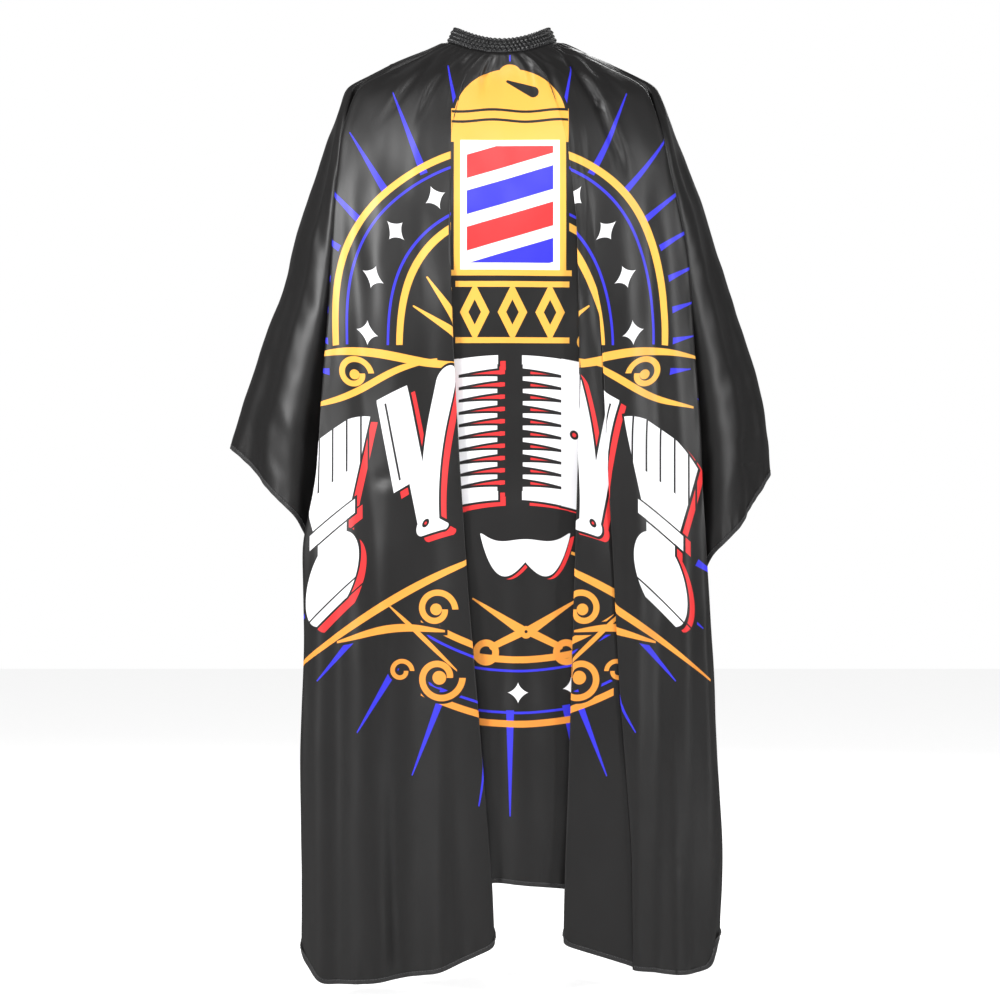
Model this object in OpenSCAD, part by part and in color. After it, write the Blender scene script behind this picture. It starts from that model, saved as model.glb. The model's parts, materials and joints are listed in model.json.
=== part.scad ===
// Barber cape: one large sheet of cloth gathered into an elastic neckband, open down the back,
// closed by a snap tab. Shown as it hangs on a wearer who is not there.
// +Z is up, the front faces -Y, and the origin is the centre of the neck opening.

/* [Neckband] */
// Radius of the neck opening
neck_r = 59; // [54:0.5:66]
// Height of the band along the neck
band_h = 18; // [16:0.5:22]
// How far the band rises at the sides and dips at front and back
saddle = 10.6; // [6:0.2:10.6]
// How far the lower edge of the outer casing flares out at the front and sides
flare = 7.6; // [2:0.2:9]

/* [Cape cloth] */
// Thickness that stands for the cloth and its small folds
cloth_t = 2.5; // [2:0.1:4]
// Depth of the front panel below the neck opening at the centre
front_drop = 1146; // [1100:1:1180]
// Depth of the back panel below the neck opening at the slit
back_drop = 375; // [340:1:420]
// Width of the binding tape round the edges
tape_w = 5; // [4:0.5:7]
// Columns of facets between two neighbouring guide lines of the drape
fine = 3; // [1:1:4]

/* [Closure] */
// Number of studs on the strap, one for each neck size
stud_count = 4; // [2:1:4]
// Angle between two studs, seen from the middle of the neck
stud_step = 12.5; // [12:0.1:14]
// Radius of the round bulb of a stud
bulb_r = 3; // [2.8:0.05:3.1]

/* [Hidden] */
$fn = 96;

cloth_colour = [0.13, 0.13, 0.135];
tape_colour = [0.05, 0.05, 0.055];
band_colour = [0.08, 0.08, 0.085];
elastic_colour = [0.9, 0.9, 0.88];
metal_colour = [0.75, 0.76, 0.78];
label_colour = [0.93, 0.93, 0.92];

// ---------- drape of the cape ----------

// Guide lines of the drape on the side of +X, from the middle of the front to the slit.
// Each one is [angle round the neck from the front, lowest z, [[z, x, y], ...]].
GUIDES = [
    [0, -front_drop, [[-60, 0, -84], [-120, 0, -104], [-210, 0, -120], [-350, 0, -128],
        [-640, 0, -126], [-1190, 0, -118]]],
    [22, -front_drop - 16, [[-60, 62, -80], [-120, 82, -100], [-210, 92, -117], [-350, 98, -126],
        [-640, 108, -126], [-1190, 112, -120]]],
    [45, -front_drop - 39, [[-60, 130, -54], [-120, 152, -80], [-210, 166, -100], [-350, 178, -110],
        [-640, 204, -114], [-1190, 214, -112]]],
    [62, -front_drop - 41, [[-60, 184, -22], [-120, 200, -46], [-210, 212, -62], [-350, 224, -74],
        [-640, 254, -86], [-1190, 268, -86]]],
    [72, -640, [[-60, 190, -14], [-120, 198, -22], [-210, 198, -22], [-350, 200, -20],
        [-640, 206, -20]]],
    [80, -588, [[-60, 194, -9], [-120, 212, -36], [-210, 226, -50], [-350, 250, -55],
        [-640, 278, -50]]],
    [90, -517, [[-60, 200, 0], [-120, 222, 0], [-210, 252, 1], [-350, 296, 3], [-520, 345, 6]]],
    [100, -572, [[-60, 190, 12], [-120, 212, 38], [-210, 232, 54], [-350, 262, 61],
        [-640, 294, 64]]],
    [125, -600, [[-60, 148, 46], [-120, 160, 78], [-210, 168, 96], [-350, 176, 104],
        [-640, 196, 106]]],
    [152, -470, [[-60, 78, 80], [-120, 84, 99], [-210, 89, 111], [-350, 93, 117],
        [-640, 100, 120]]],
    [175, -back_drop, [[-60, 8, 88], [-120, 9, 105], [-210, 11, 117], [-350, 16, 122],
        [-640, 20, 124]]],
];
GUIDE_TOP = -60;
TOP_ROWS = 3;
ROWS = 12;
COLUMNS = (len(GUIDES) - 1) * fine;
CLOTH_NECK_R = neck_r + 4.8 + flare;
SEAM_GAP = 0.3;
FLARE_END = 126;
FLARE_FADE = 30;

function lerp(a, b, t) = a + (b - a) * t;
function unit(v) = v / norm(v);

// Height of the middle of the band at an angle from the front
function band_z(angle) = -saddle * cos(2 * angle);

// The outer casing flares at the front and sides and stays upright behind, under the closure
function flare_at(angle) = flare * min(1, max(0, (FLARE_END - angle) / FLARE_FADE));

function guide_neck(g) =
    let (r = CLOTH_NECK_R - flare + flare_at(g[0]))
    [r * sin(g[0]), -r * cos(g[0]), band_z(g[0]) - band_h / 2 - SEAM_GAP];

function guide_at(g, z) =
    [lookup(z, [for (p = g[2]) [p[0], p[1]]]), lookup(z, [for (p = g[2]) [p[0], p[2]]]), z];

// Point of one guide line: rows 0 to TOP_ROWS run from the neck to the shoulder line
function guide_point(g, row) =
    row <= TOP_ROWS
        ? lerp(guide_neck(g), guide_at(g, GUIDE_TOP), row / TOP_ROWS)
        : guide_at(g, lerp(GUIDE_TOP, g[1], (row - TOP_ROWS) / (ROWS - TOP_ROWS)));

// Point of the cloth: column runs from -COLUMNS at one slit edge over 0 to COLUMNS at the other
function cloth_point(column, row) =
    let (at = abs(column) / fine, k = min(floor(at), len(GUIDES) - 2), side = column < 0 ? -1 : 1,
        p = lerp(guide_point(GUIDES[k], row), guide_point(GUIDES[k + 1], row), at - k))
    [side * p[0], p[1], p[2]];

function limited(value, most) = max(-most, min(most, value));

function cloth_normal(column, row) =
    let (along = cloth_point(limited(column + 0.5, COLUMNS), row)
            - cloth_point(limited(column - 0.5, COLUMNS), row),
        down = cloth_point(column, min(row + 0.5, ROWS)) - cloth_point(column, max(row - 0.5, 0)))
    unit(cross(along, down));

function inner_point(column, row) = cloth_point(column, row) + cloth_t * cloth_normal(column, row);

// Points just past the lower edge of the cloth and past a slit edge, by a given distance
function past_hem(column, d) =
    d * unit(cloth_point(column, ROWS) - cloth_point(column, ROWS - 0.5));
function past_slit(side, row, d) =
    d * unit(cloth_point(side * COLUMNS, row) - cloth_point(side * (COLUMNS - 0.5), row));

// A closed slab between two grids of points, each given as rows of the same length
module slab(outer, inner) {
    m = len(outer);
    n = len(outer[0]);
    half = m * n;
    points = [for (grid = [outer, inner]) for (line = grid) for (p = line) p];
    function id(i, j) = i * n + j;
    faces = [
        for (i = [0:m - 2]) for (j = [0:n - 2]) each [
            [id(i, j), id(i + 1, j), id(i + 1, j + 1)],
            [id(i, j), id(i + 1, j + 1), id(i, j + 1)],
            [half + id(i, j), half + id(i + 1, j + 1), half + id(i + 1, j)],
            [half + id(i, j), half + id(i, j + 1), half + id(i + 1, j + 1)]],
        for (i = [0:m - 2]) each [
            [id(i, 0), half + id(i, 0), half + id(i + 1, 0)],
            [id(i, 0), half + id(i + 1, 0), id(i + 1, 0)],
            [id(i, n - 1), id(i + 1, n - 1), half + id(i + 1, n - 1)],
            [id(i, n - 1), half + id(i + 1, n - 1), half + id(i, n - 1)]],
        for (j = [0:n - 2]) each [
            [id(0, j), id(0, j + 1), half + id(0, j + 1)],
            [id(0, j), half + id(0, j + 1), half + id(0, j)],
            [id(m - 1, j), half + id(m - 1, j), half + id(m - 1, j + 1)],
            [id(m - 1, j), half + id(m - 1, j + 1), id(m - 1, j + 1)]],
    ];
    polyhedron(points, faces);
}

module cape_cloth() {
    color(cloth_colour)
        slab([for (c = [-COLUMNS:COLUMNS]) [for (r = [0:ROWS]) cloth_point(c, r)]],
            [for (c = [-COLUMNS:COLUMNS]) [for (r = [0:ROWS]) inner_point(c, r)]]);
}

// Binding tape along the whole lower edge, from one slit corner round the front to the other
module hem_binding() {
    color(tape_colour)
        slab([for (c = [-COLUMNS:COLUMNS]) [for (d = [SEAM_GAP, tape_w])
                cloth_point(c, ROWS) + past_hem(c, d)]],
            [for (c = [-COLUMNS:COLUMNS]) [for (d = [SEAM_GAP, tape_w])
                inner_point(c, ROWS) + past_hem(c, d)]]);
}

module slit_binding(side) {
    color(tape_colour)
        slab([for (d = [SEAM_GAP, tape_w]) [for (r = [1:ROWS])
                cloth_point(side * COLUMNS, r) + past_slit(side, r, d)]],
            [for (d = [SEAM_GAP, tape_w]) [for (r = [1:ROWS])
                inner_point(side * COLUMNS, r) + past_slit(side, r, d)]]);
}

module slit_binding_left() { slit_binding(1); }
module slit_binding_right() { slit_binding(-1); }

// ---------- neckband ----------

BACK = 180;
SLIT_HALF = 3.5;
ELASTIC_R = neck_r + 1;
ELASTIC_T = 1.2;
CASING_R = ELASTIC_R + ELASTIC_T + 0.2;
CASING_T = 1;
CASING_STEP = 6;

// Prism that cuts a band of height h to the saddle shape, so that it follows band_z
module saddle_strip(h, reach) {
    rotate([90, 0, 90]) linear_extrude(2 * reach, center = true)
        polygon(concat(
            [for (a = [0:7.5:180]) [-reach * cos(a), band_z(a) - h / 2]],
            [for (a = [180:-7.5:0]) [-reach * cos(a), band_z(a) + h / 2]]));
}

// Plain round wall with the slit left open behind, cut to the saddle shape
module band_ring(inner_r, thickness, h) {
    intersection() {
        rotate([0, 0, 90 + SLIT_HALF])
            rotate_extrude(angle = 360 - 2 * SLIT_HALF)
                translate([inner_r, -2 * band_h]) square([thickness, 4 * band_h]);
        saddle_strip(h, inner_r + thickness);
    }
}

module neckband_inner() { color(band_colour) band_ring(neck_r, 0.8, band_h); }
module neck_elastic() { color(elastic_colour) band_ring(ELASTIC_R, ELASTIC_T, band_h - 4); }

function casing_point(angle, outward, low) =
    let (from_front = abs(angle),
        r = CASING_R + outward + (low ? flare_at(from_front) : 0),
        z = band_z(angle) + (low ? -1 : 1) * band_h / 2)
    [r * sin(angle), -r * cos(angle), z];

module neckband_outer() {
    last = BACK - SLIT_HALF;
    steps = round(2 * last / CASING_STEP);
    angles = [for (i = [0:steps]) -last + 2 * last * i / steps];
    color(band_colour)
        slab([for (a = angles) [casing_point(a, CASING_T, false), casing_point(a, CASING_T, true)]],
            [for (a = angles) [casing_point(a, 0, false), casing_point(a, 0, true)]]);
}

// ---------- snap closure behind the neck ----------

PLY = 0.5;
PLY_GAP = 0.02;
STRAP_R = CASING_R + CASING_T + 1.3;
STRAP_H = band_h - 1;
STRAP_END = 12;
STRAP_START = -(stud_count - 1) * stud_step - 14;
POST_R = 1.5;
HOLE_R = 1.6;
SHEET_GAP = 0.25;
STRAP_T = 3 * PLY + 2 * PLY_GAP;
STUD_BASE = STRAP_R + STRAP_T + SHEET_GAP;
STUD_BASE_R = 5.2;
STUD_BASE_T = 0.8;
BULB_H = 2.2;
SOCKET_R = 5.4;
SOCKET_LOW = STUD_BASE + STUD_BASE_T + SHEET_GAP;
SOCKET_ROOF = STUD_BASE + STUD_BASE_T + BULB_H + 0.1;
SOCKET_TOP = SOCKET_ROOF + 0.4;
TAB_R = SOCKET_TOP + 0.5;
TAB_T = STRAP_T;
TAB_H = 16;
TAB_TIP = 5;
TAB_ROOT_ANGLE = 15.2;
TAB_EDGE_ANGLE = 14.6;
ROOT_ROLL_R = 0.5;
ROOT_R = TAB_R + TAB_T - PLY / 2;
TAB_MID_R = TAB_R + TAB_T / 2;
CAP_BASE = TAB_R + TAB_T + 0.15;
ANCHOR_END = 42;
ANCHOR_START = 16.4;

// Places a child that stands on +Z onto the back of the neck, at an angle from the middle
module behind(angle, r = 0) {
    translate([0, 0, band_z(BACK - angle)]) rotate([0, 0, -angle])
        translate([0, r, 0]) rotate([-90, 0, 0]) children();
}

function stud_angles() = [for (i = [0:stud_count - 1]) -i * stud_step];

// One ply of the strap that carries the studs
module strap_ply(layer) {
    inner = STRAP_R + layer * (PLY + PLY_GAP);
    difference() {
        intersection() {
            rotate([0, 0, 90 - STRAP_END])
                rotate_extrude(angle = STRAP_END - STRAP_START)
                    translate([inner, -2 * band_h]) square([PLY, 4 * band_h]);
            saddle_strip(STRAP_H, inner + PLY);
        }
        for (a = stud_angles()) behind(a, STRAP_R - 2) cylinder(r = HOLE_R, h = 6);
    }
}

module stud_strap_lining() { color(band_colour) strap_ply(0); }
module stud_strap_interlining() { color(elastic_colour) strap_ply(1); }
module stud_strap_outer() { color(band_colour) strap_ply(2); }

module snap_eyelet() {
    rotate_extrude() polygon([[1.1, 0], [4.4, 0], [4.4, 0.35], [4.1, 0.6], [POST_R, 0.6],
        [POST_R, 3.3], [1.1, 3.3]]);
}

module snap_stud() {
    bore = POST_R + 0.05;
    rotate_extrude() polygon([[bore, 0], [STUD_BASE_R, 0], [STUD_BASE_R, 0.4],
        [STUD_BASE_R - 0.4, STUD_BASE_T], [bulb_r - 0.4, STUD_BASE_T],
        [bulb_r - 0.4, STUD_BASE_T + 0.7], [bulb_r, STUD_BASE_T + 1.3],
        [bulb_r - 0.5, STUD_BASE_T + BULB_H], [bore, STUD_BASE_T + BULB_H]]);
}

module snap_studs() { color(metal_colour) for (a = stud_angles()) behind(a, STUD_BASE) snap_stud(); }
module snap_eyelets() {
    color(metal_colour)
        for (a = stud_angles()) behind(a, STRAP_R - SHEET_GAP - 0.6) snap_eyelet();
}

// One ply of the tab: curved round the neck, with a round tip and a hole for the snap
module tab_ply(layer, edge_angle) {
    inner = TAB_R + layer * (PLY + PLY_GAP);
    difference() {
        intersection() {
            rotate([0, 0, 90 - edge_angle])
                rotate_extrude(angle = edge_angle + 15)
                    translate([inner, -2 * band_h]) square([PLY, 4 * band_h]);
            translate([0, 0, band_z(BACK)]) rotate([-90, 0, 0]) linear_extrude(2 * TAB_R) {
                translate([-TAB_TIP, -TAB_H / 2]) square([40, TAB_H]);
                translate([-TAB_TIP, 0]) circle(r = TAB_H / 2);
            }
        }
        behind(0, TAB_R - 2) cylinder(r = HOLE_R, h = 6);
    }
}

module tab_lining() { color(band_colour) tab_ply(0, TAB_EDGE_ANGLE); }
module tab_interlining() { color(elastic_colour) tab_ply(1, TAB_EDGE_ANGLE); }

// The outer ply ends in the roll that the tab turns on
module tab_outer() {
    color(band_colour) {
        tab_ply(2, TAB_ROOT_ANGLE);
        rotate([0, 0, -TAB_ROOT_ANGLE])
            translate([0, ROOT_R, band_z(BACK)])
                cylinder(r = ROOT_ROLL_R, h = TAB_H - 1, center = true);
    }
}

// Spiral strip that leads from the casing out to the root of the tab
module tab_anchor() {
    steps = 10;
    angles = [for (i = [0:steps]) lerp(ANCHOR_START, ANCHOR_END, i / steps)];
    function spiral_r(a) =
        let (t = (a - ANCHOR_START) / (ANCHOR_END - ANCHOR_START))
        lerp(TAB_MID_R, CASING_R + CASING_T + 0.4 + 0.8, t * (2 - t));
    function spiral(a, side) = (spiral_r(a) + side * 0.8) * [sin(a), cos(a)];
    color(band_colour) intersection() {
        translate([0, 0, -2 * band_h]) linear_extrude(4 * band_h)
            polygon(concat([for (a = angles) spiral(a, 1)],
                [for (i = [steps:-1:0]) spiral(angles[i], -1)]));
        saddle_strip(TAB_H, TAB_R + 4);
    }
}

module snap_socket() {
    groove = bulb_r + 0.95;
    mouth = bulb_r + 0.3;
    low = 0;
    roof = SOCKET_ROOF - SOCKET_LOW;
    top = SOCKET_TOP - SOCKET_LOW;
    color(metal_colour) behind(0, SOCKET_LOW) rotate_extrude()
        polygon([[mouth + 0.2, low], [SOCKET_R, low], [SOCKET_R, top], [POST_R + 0.05, top],
            [POST_R + 0.05, roof], [mouth, roof], [mouth, 1.45], [groove, 1.45], [groove, 0.7],
            [mouth, 0.7], [mouth, 0.2]]);
}

// Split ring that sits in the groove of the socket and grips the stud
module snap_spring() {
    color(metal_colour) behind(0, SOCKET_LOW + 1.075)
        rotate_extrude(angle = 320) translate([bulb_r + 0.6, 0]) circle(r = 0.28, $fn = 24);
}

module snap_cap() {
    post = CAP_BASE - SOCKET_ROOF - 0.15;
    color(metal_colour) behind(0, CAP_BASE) rotate_extrude()
        polygon([[0, -post], [POST_R, -post], [POST_R, 0], [6, 0], [6, 0.5], [5.4, 1.0],
            [3.8, 1.45], [2, 1.7], [0, 1.75]]);
}

// Blank care label, sewn inside the back panel beside the slit
module care_label() {
    color(label_colour) translate([24, 103, -184]) cube([18, 0.6, 34]);
}

cape_cloth();
hem_binding();
slit_binding_left();
slit_binding_right();
neckband_outer();
neckband_inner();
neck_elastic();
tab_anchor();
stud_strap_outer();
stud_strap_interlining();
stud_strap_lining();
snap_studs();
snap_eyelets();
tab_outer();
tab_interlining();
tab_lining();
snap_cap();
snap_socket();
snap_spring();
care_label();
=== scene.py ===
"""Looks of the barber cape: printed satin cloth that hangs in folds from a gathered neckband."""
import json
import math

import bmesh
import bpy
import numpy as np
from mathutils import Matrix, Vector

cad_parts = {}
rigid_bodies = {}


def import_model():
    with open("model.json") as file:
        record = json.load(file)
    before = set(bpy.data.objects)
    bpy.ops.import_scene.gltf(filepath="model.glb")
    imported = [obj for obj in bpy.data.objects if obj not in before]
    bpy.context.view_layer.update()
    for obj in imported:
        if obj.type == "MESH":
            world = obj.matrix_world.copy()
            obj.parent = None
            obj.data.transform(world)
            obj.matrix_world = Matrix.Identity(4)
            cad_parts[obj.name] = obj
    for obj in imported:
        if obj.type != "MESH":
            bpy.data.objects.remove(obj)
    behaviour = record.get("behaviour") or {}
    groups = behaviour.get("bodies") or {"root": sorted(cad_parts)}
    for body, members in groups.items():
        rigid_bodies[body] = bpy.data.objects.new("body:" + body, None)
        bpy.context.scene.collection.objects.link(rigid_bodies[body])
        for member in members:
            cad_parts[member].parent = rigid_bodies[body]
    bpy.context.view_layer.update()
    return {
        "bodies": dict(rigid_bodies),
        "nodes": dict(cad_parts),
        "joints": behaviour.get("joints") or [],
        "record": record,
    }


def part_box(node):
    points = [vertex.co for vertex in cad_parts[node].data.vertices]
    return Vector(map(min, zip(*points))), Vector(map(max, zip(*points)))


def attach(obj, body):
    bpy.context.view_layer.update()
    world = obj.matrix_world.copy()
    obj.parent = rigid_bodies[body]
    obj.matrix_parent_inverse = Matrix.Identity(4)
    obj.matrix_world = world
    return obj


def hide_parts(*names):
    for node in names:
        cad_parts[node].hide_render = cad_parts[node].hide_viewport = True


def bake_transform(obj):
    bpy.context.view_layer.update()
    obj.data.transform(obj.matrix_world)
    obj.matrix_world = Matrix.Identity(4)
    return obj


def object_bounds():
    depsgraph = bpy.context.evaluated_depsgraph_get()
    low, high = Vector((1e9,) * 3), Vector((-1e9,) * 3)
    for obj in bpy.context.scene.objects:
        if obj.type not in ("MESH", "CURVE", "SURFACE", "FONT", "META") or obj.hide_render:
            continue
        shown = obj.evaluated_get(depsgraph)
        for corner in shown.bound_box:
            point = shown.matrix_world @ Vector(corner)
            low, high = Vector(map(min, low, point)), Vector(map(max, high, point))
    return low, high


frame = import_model()

# ---------- sizes, in metres and degrees ----------

NECK_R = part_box("neckband_inner")[1][0] - 0.0008
BAND_H = 0.018
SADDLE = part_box("neckband_inner")[1][2] - BAND_H / 2
FLARE = 0.0076
FLARE_END, FLARE_FADE = 126, 30
CASING_R = NECK_R + 0.0034
SLIT_HALF = 3.5
TAPE_W, TAPE_T = 0.0058, 0.0016
CLOTH_T, PLY_T = 0.0005, 0.0003
FLOOR_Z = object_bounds()[0][2] - 0.012
FLOOR_REACH = 8.0
VIEW_WIDTH, VIEW_DEPTH = 1.25, -0.1     # width of the camera's frame, and the y where it is that wide
SKY_LIGHT = 0.25     # strength of the sky for all that it lights; the camera sees 1.0
FLOOR_GLOW = 0.7     # added to the floor where the camera sees it, so that it comes near the backdrop

# Rows of stitches: step, length of one stitch and radius of the thread
TAPE_STITCH = (0.0036, 0.0027, 0.00032)
CASING_STITCH = (0.0034, 0.0021, 0.00032)
STRAP_STITCH = (0.0027, 0.0019, 0.0002)
LABEL_STITCH = (0.003, 0.0021, 0.00022)

rng = np.random.default_rng(7)


def band_z(angle):
    """Height of the middle of the band, by the angle in degrees from the front."""
    return -SADDLE * np.cos(2 * np.radians(angle))


def flare_at(angle):
    """How far the casing's lower edge stands out, everywhere but behind."""
    return FLARE * np.clip((FLARE_END - np.abs(angle)) / FLARE_FADE, 0, 1)


def smooth(a, b, x):
    """0 below a, 1 above b, with a soft step between."""
    t = np.clip((np.asarray(x, float) - a) / (b - a), 0, 1)
    return t * t * (3 - 2 * t)


# ---------- mesh helpers ----------

def link(mesh, name):
    piece = bpy.data.objects.new(name, mesh)
    bpy.context.scene.collection.objects.link(piece)
    return piece


def grid_mesh(name, points, closed=False, uv=None):
    """A sheet of quads over points[column, row]; closed joins the last row to the first."""
    m, n = points.shape[:2]
    ids = np.arange(m * n).reshape(m, n)
    if closed:
        ids = np.concatenate([ids, ids[:, :1]], axis=1)
    quads = np.stack([ids[:-1, :-1], ids[:-1, 1:], ids[1:, 1:], ids[1:, :-1]], axis=-1)
    mesh = bpy.data.meshes.new(name)
    mesh.from_pydata(points.reshape(-1, 3).tolist(), [], quads.reshape(-1, 4).tolist())
    mesh.shade_smooth()
    if uv is not None:
        layer = mesh.uv_layers.new(name="print")
        corner = np.empty(len(mesh.loops), dtype=np.int64)
        mesh.loops.foreach_get("vertex_index", corner)
        layer.data.foreach_set("uv", uv.reshape(-1, 2)[corner].ravel())
    return link(mesh, name)


def blur(values, sigma, axis):
    """Gaussian smoothing along an axis that keeps both ends in place."""
    reach = int(math.ceil(3 * sigma))
    kernel = np.exp(-0.5 * (np.arange(-reach, reach + 1) / sigma) ** 2)
    kernel /= kernel.sum()
    values = np.moveaxis(values, axis, 0)
    first, last = values[:1], values[-1:]
    steps = np.arange(reach, 0, -1).reshape(-1, *[1] * (values.ndim - 1))
    before = 2 * first - values[1:reach + 1][::-1] if len(values) > reach else first + 0 * steps
    after = 2 * last - values[-reach - 1:-1][::-1] if len(values) > reach else last + 0 * steps
    padded = np.concatenate([before, values, after])
    out = sum(k * padded[i:i + len(values)] for i, k in enumerate(kernel))
    return np.moveaxis(out, 0, axis)


def ridge(x, centre, width):
    return np.exp(-((x - centre) / width) ** 2)


def unit(v):
    return v / np.maximum(np.linalg.norm(v, axis=-1, keepdims=True), 1e-12)


def soft_noise(shape, sigma):
    """Smooth random hills of about height 1 over a grid, cut from a wider one whose rim is rough."""
    rim = [int(4 * s) + 1 for s in sigma]
    field = rng.standard_normal([count + 2 * r for count, r in zip(shape, rim)])
    field = blur(blur(field, sigma[0], 0), sigma[1], 1)
    field = field[rim[0]:rim[0] + shape[0], rim[1]:rim[1] + shape[1]]
    return field / field.std()


def resample(path, spacing):
    """Points at equal steps along a path whose first three numbers are a place."""
    steps = np.linalg.norm(np.diff(path[:, :3], axis=0), axis=1)
    length = np.concatenate([[0], np.cumsum(steps)])
    at = np.linspace(0, length[-1], int(round(length[-1] / spacing)) + 1)
    return np.stack([np.interp(at, length, path[:, k]) for k in range(path.shape[1])], axis=1)


def round_box(count, power=0.4):
    """Points (across, up) from -1 to 1 round a rectangle with round corners."""
    a = np.arange(count) * 2 * math.pi / count + math.pi / count
    return np.stack([np.sign(f(a)) * np.abs(f(a)) ** power for f in (np.cos, np.sin)], axis=1)


def swept(name, centre, across, up, half_w, half_t, count=14):
    """A closed strip with round edges along centre, with its two ends drawn in."""
    section = round_box(count)
    ends = np.ones(len(centre))
    ends[[0, -1]], ends[[1, -2]] = 0.02, 0.8
    w = (np.broadcast_to(half_w, ends.shape) * ends)[:, None, None] * section[None, :, :1]
    t = (np.broadcast_to(half_t, ends.shape) * ends)[:, None, None] * section[None, :, 1:]
    return grid_mesh(name, centre[:, None] + w * across[:, None] + t * up[:, None], closed=True)


def stitches(name, path, up, step, length, radius):
    """A row of short threads along path that stand a little out of the cloth."""
    both = resample(np.concatenate([path, up], axis=1), step)
    at, out = both[:, :3], unit(both[:, 3:])
    along = unit(np.gradient(at, axis=0))
    side = np.cross(along, out)
    sides = 6
    rings = [(-0.5, 0.3, -0.6), (-0.34, 0.9, 0.2), (0.34, 0.9, 0.2), (0.5, 0.3, -0.6)]
    verts, faces = [], []
    for share, thick, lift in rings:
        for k in range(sides):
            a = 2 * math.pi * k / sides
            verts.append(at + along * share * length + side * thick * radius * math.cos(a)
                         + out * radius * (lift + thick * math.sin(a)))
    verts = np.stack(verts, axis=1)
    for ring in range(len(rings) - 1):
        for k in range(sides):
            a, b = ring * sides + k, ring * sides + (k + 1) % sides
            faces.append((a, a + sides, b + sides, b))
    per, last = len(rings) * sides, (len(rings) - 1) * sides
    caps = [tuple(range(sides)), tuple(range(last + sides - 1, last - 1, -1))]
    mesh = bpy.data.meshes.new(name)
    every = [tuple(i + n * per for i in face) for n in range(len(at)) for face in faces + caps]
    mesh.from_pydata(verts.reshape(-1, 3).tolist(), [], every)
    mesh.shade_smooth()
    return link(mesh, name)


# ---------- the drape ----------

# Soft lines of the front, as (z, x): the two outer folds, the edges of three pleats, both sleeves
LEFT_FOLD = [(-0.06, -0.186), (-0.12, -0.203), (-0.21, -0.2125), (-0.376, -0.2225), (-0.46, -0.231),
             (-0.57, -0.236), (-0.633, -0.2525), (-0.75, -0.251), (-0.9, -0.2545), (-1.19, -0.253)]
RIGHT_FOLD = [(-0.06, 0.186), (-0.12, 0.205), (-0.21, 0.222), (-0.27, 0.235), (-0.35, 0.241),
              (-0.48, 0.25), (-0.68, 0.261), (-0.83, 0.2695), (-1.02, 0.279), (-1.19, 0.272)]
LEFT_PLEAT = [(-0.06, -0.05), (-0.12, -0.064), (-0.23, -0.065), (-0.38, -0.059), (-0.55, -0.049),
              (-0.7, -0.039), (-0.85, -0.026), (-1.06, -0.009), (-1.19, -0.004)]
RIGHT_PLEAT = [(-0.06, 0.06), (-0.12, 0.08), (-0.23, 0.092), (-0.38, 0.094), (-0.5, 0.093),
               (-0.65, 0.088), (-0.85, 0.082), (-1.07, 0.074), (-1.19, 0.072)]
OUTER_PLEAT = [(-0.06, 0.09), (-0.12, 0.105), (-0.23, 0.115), (-0.38, 0.1206), (-0.5, 0.124),
               (-0.7, 0.135), (-0.82, 0.141), (-1.02, 0.156), (-1.19, 0.158)]
LEFT_SLEEVE = [(-0.052, -0.199), (-0.208, -0.251), (-0.35, -0.295), (-0.458, -0.329), (-0.5145, -0.346),
               (-0.56, -0.35)]
RIGHT_SLEEVE = [(-0.0545, 0.1975), (-0.208, 0.255), (-0.303, 0.285), (-0.447, 0.3325), (-0.52, 0.344),
                (-0.57, 0.346)]
# Depth of the middle of the front panel, as (z, y)
CHEST = [(-0.03, -0.07), (-0.06, -0.085), (-0.12, -0.104), (-0.21, -0.12), (-0.35, -0.127),
         (-0.64, -0.126), (-1.19, -0.118)]
PLEAT_DEPTH = 0.013
OUTER_FOLD_AT = 63     # angle at the neck of both outer folds


def follow(line, z):
    points = sorted(line)
    return np.interp(z, [p[0] for p in points], [p[1] for p in points])


def chest_y(x, z):
    """The front panel curves back towards its outer folds."""
    wide = np.interp(-z, [0.06, 0.2, 0.6, 1.19], [0.2, 0.225, 0.255, 0.265])
    fall = np.interp(-z, [0.03, 0.06, 0.12, 0.25, 0.6, 1.19], [0.05, 0.062, 0.06, 0.052, 0.04, 0.034])
    return follow(CHEST, z) + fall * np.abs(x / wide) ** 2.6


def nothing(z):
    return 0 * z


def pleat_guides(side, pleat, shift):
    """The two guide lines of one pleat, and the shift of the print beyond it."""
    line, top, full, most, angle, z_in, z_out, tuck = pleat

    def width(z):
        return most * smooth(top, full, -z)

    def deep(z):
        return PLEAT_DEPTH * width(z) / most

    def beyond(z):
        return shift(z) + 2 * width(z)
    inner = (angle - 1, z_in, lambda z: follow(line, z) + side * width(z), shift, lambda z: tuck * deep(z))
    outer = (angle + 1, z_out, lambda z: follow(line, z), beyond, lambda z: -0.2 * deep(z))
    return [inner, outer], beyond


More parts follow.
